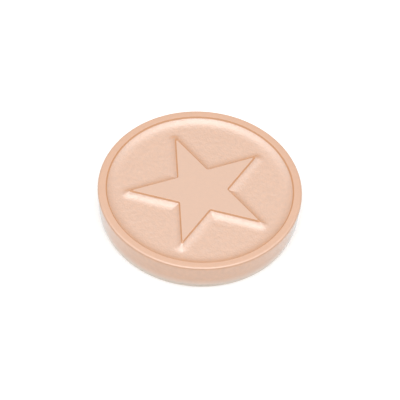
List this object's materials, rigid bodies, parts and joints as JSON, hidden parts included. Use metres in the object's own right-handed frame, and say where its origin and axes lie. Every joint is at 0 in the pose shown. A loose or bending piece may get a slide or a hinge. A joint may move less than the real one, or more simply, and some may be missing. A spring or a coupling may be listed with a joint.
{
  "type": "rubber stamp",
  "caption": "Round cling-mounted craft stamp: a rubber die with a raised rim and star, a foam cushion and a cling backing.",
  "frame": {"origin": "centre of the flat underside of the cling backing", "axes": "+Z out of the printing face, +Y towards one tip of the star, +X to the right of that tip seen from above"},
  "size_m": [0.0254, 0.0254, 0.0041],
  "materials": {
    "die_rubber": "satin copper-peach rubber, smooth on the printing faces and finely pebbled in the engraved field",
    "cushion_foam": "closed-cell foam",
    "adhesive_film": "clear double-sided film",
    "cling_vinyl": "satin grey vinyl"
  },
  "bodies": {
    "root": {"stamp_die": "die_rubber", "cushion_adhesive": "adhesive_film", "cushion_pad": "cushion_foam", "backing_adhesive": "adhesive_film", "cling_backing": "cling_vinyl"}
  },
  "joints": []
}
